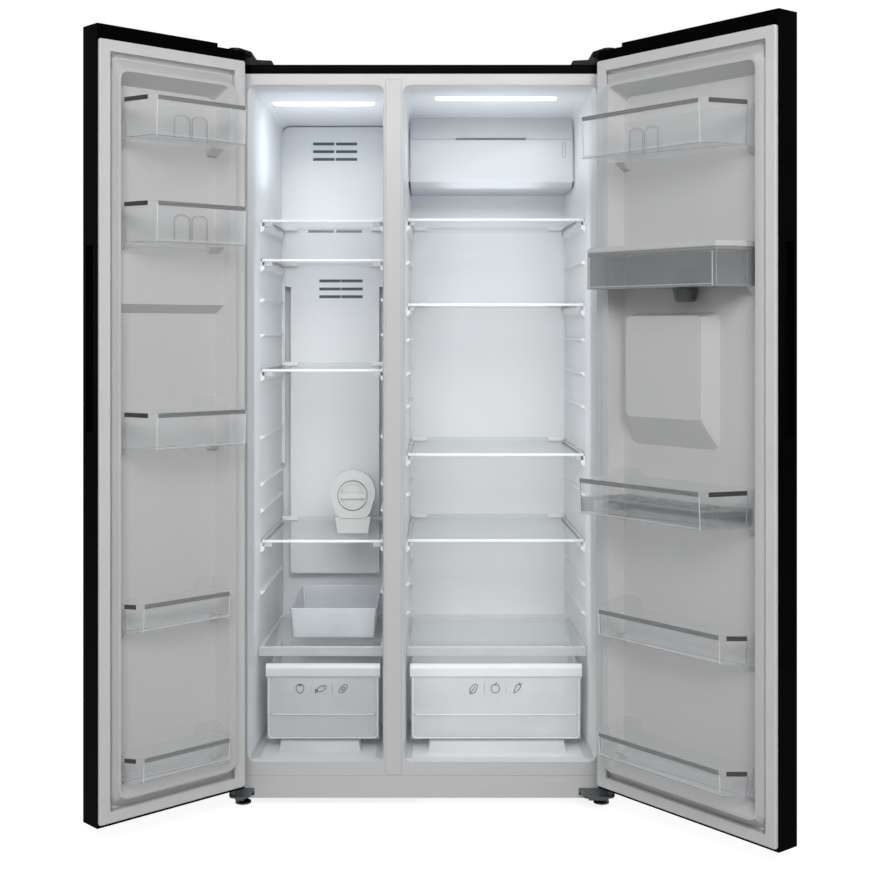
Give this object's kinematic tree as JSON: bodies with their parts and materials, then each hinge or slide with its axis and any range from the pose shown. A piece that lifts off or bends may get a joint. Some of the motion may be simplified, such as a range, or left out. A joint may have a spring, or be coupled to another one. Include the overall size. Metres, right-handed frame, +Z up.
{
  "type": "side by side refrigerator",
  "caption": "Side by side refrigerator with both doors open, glass shelves, drawers, door bins, a water tank and a dispenser recess.",
  "frame": {"origin": "middle of the ground footprint of the refrigerator with its doors open, at floor level", "axes": "+Z up, the open front faces -Y, +X to the right as seen from the front"},
  "size_m": [1.4968, 1.0934, 1.771],
  "materials": {
    "gloss_black": "high gloss",
    "black_plastic": "fine grain",
    "frame_grey": "satin",
    "liner_white": "satin",
    "door_filling": "satin",
    "gasket_grey": "matte",
    "clear_plastic": "clear",
    "smoked_plastic": "clear, smoked",
    "glass": "clear",
    "steel": "satin",
    "dark_steel": "matte",
    "foam": "matte"
  },
  "bodies": {
    "cabinet": {"back_panel": "dark_steel", "base_pan": "dark_steel", "cabinet_foam": "foam", "compressor": "dark_steel", "compressor_cover": "dark_steel", "crisper_cover": "glass", "evaporator": "steel", "freezer_drawer_cover": "glass", "freezer_light": "clear_plastic", "freezer_liner": "liner_white", "freezer_rear_cover": "liner_white", "freezer_shelf_1": "glass", "freezer_shelf_2": "glass", "freezer_shelf_3": "glass", "freezer_shelf_4": "glass", "fridge_air_duct": "liner_white", "fridge_light": "clear_plastic", "fridge_liner": "liner_white", "fridge_shelf_1": "glass", "fridge_shelf_2": "glass", "fridge_shelf_3": "glass", "fridge_shelf_4": "glass", "front_frame": "frame_grey", "ice_maker_housing": "liner_white", "kick_plate": "frame_grey", "left_bottom_hinge": "steel", "left_front_foot": "black_plastic", "left_hinge_cover": "black_plastic", "left_top_hinge": "steel", "mullion_cover": "frame_grey", "outer_cabinet": "gloss_black", "right_bottom_hinge": "steel", "right_front_foot": "black_plastic", "right_hinge_cover": "black_plastic", "right_top_hinge": "steel"},
    "freezer_drawer": {"freezer_drawer": "clear_plastic"},
    "crisper_drawer": {"crisper_drawer": "clear_plastic"},
    "ice_bin": {"ice_bin": "clear_plastic"},
    "ice_maker_knob": {"ice_maker_knob": "liner_white"},
    "dispenser_paddle": {"dispenser_paddle": "black_plastic"},
    "left_door": {"left_bin_1": "clear_plastic", "left_bin_2": "clear_plastic", "left_bin_3": "clear_plastic", "left_bin_4": "clear_plastic", "left_bin_5": "clear_plastic", "left_door_gasket": "gasket_grey", "left_door_liner": "door_filling", "left_door_shell": "gloss_black"},
    "right_door": {"right_door_shell": "gloss_black", "right_door_liner": "door_filling", "right_door_gasket": "gasket_grey", "right_bin_1": "clear_plastic", "egg_bin": "clear_plastic", "right_bin_3": "clear_plastic", "right_bin_4": "clear_plastic", "egg_tray": "clear_plastic", "water_tank": "smoked_plastic", "water_tank_lid": "liner_white", "dispenser_tap": "smoked_plastic", "dispenser_niche": "black_plastic"}
  },
  "joints": [
    {"name": "left_door_hinge", "type": "hinge", "parent": "cabinet", "child": "left_door", "pos_m": [-0.46038, -0.12214, 0], "axis": [0, 0, -1], "range_deg": [-136.5, 3.5]},
    {"name": "right_door_hinge", "type": "hinge", "parent": "cabinet", "child": "right_door", "pos_m": [0.41462, -0.12214, 0], "axis": [0, 0, 1], "range_deg": [-128.5, 6.5]},
    {"name": "freezer_drawer_slide", "type": "slide", "parent": "cabinet", "child": "freezer_drawer", "axis": [0, -1, 0], "range_m": [0, 0.3]},
    {"name": "crisper_drawer_slide", "type": "slide", "parent": "cabinet", "child": "crisper_drawer", "axis": [0, -1, 0], "range_m": [0, 0.3]},
    {"name": "ice_bin_slide", "type": "slide", "parent": "cabinet", "child": "ice_bin", "axis": [0, -1, 0], "range_m": [0, 0.2]},
    {"name": "ice_maker_twist", "type": "hinge", "parent": "cabinet", "child": "ice_maker_knob", "pos_m": [-0.20148, 0.17436, 0.7002], "axis": [0, 1, 0], "range_deg": [0, 100], "stiffness_Nm_per_rad": 0.15},
    {"name": "dispenser_paddle_pivot", "type": "hinge", "parent": "right_door", "child": "dispenser_paddle", "pos_m": [0.52849, -0.31268, 1.116], "axis": [-0.6225, 0.7826, 0], "range_deg": [0, 8], "stiffness_Nm_per_rad": 0.1}
  ]
}
